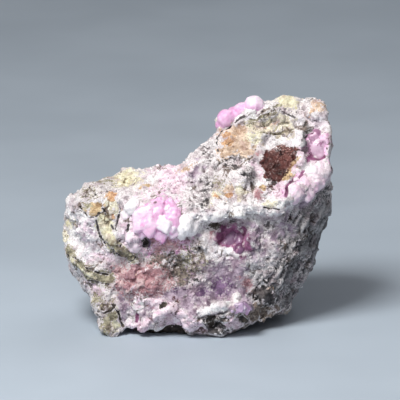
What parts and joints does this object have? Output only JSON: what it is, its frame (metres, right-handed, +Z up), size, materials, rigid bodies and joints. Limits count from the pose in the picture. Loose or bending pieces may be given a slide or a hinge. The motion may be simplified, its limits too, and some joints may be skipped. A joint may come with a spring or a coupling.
{
  "type": "cobaltoan calcite specimen",
  "caption": "Rough broken block of breccia matrix with pink crystal growths on its crest, on its face and in its hollows, resting on planed points.",
  "frame": {"origin": "under the middle of the specimen, on the surface it stands on", "axes": "+Z up, +X to the right of the crystal-bearing face and along the specimen's length, +Y away from whoever looks at that face"},
  "size_m": [0.0906, 0.0582, 0.0764],
  "materials": {
    "matrix_rock": "rough broken rock, mottled white, grey, ochre and lilac",
    "crest_crystals": "translucent pink, rounded, finely sparkling",
    "corner_pocket_crystals": "translucent pink, knobbly",
    "vug_crystals": "translucent deep magenta, shiny",
    "red_druse": "fine red-brown sparkling druse",
    "centre_crystals": "translucent pale pink with white faces",
    "rose_crust": "salmon to rose crust, satin",
    "ledge_crystals": "translucent lilac, satin"
  },
  "bodies": {
    "root": {"matrix_rock": "matrix_rock", "crest_crystals": "crest_crystals", "corner_pocket_crystals": "corner_pocket_crystals", "vug_crystals": "vug_crystals", "red_druse": "red_druse", "centre_crystals": "centre_crystals", "rose_crust": "rose_crust", "ledge_crystals": "ledge_crystals"}
  },
  "joints": []
}
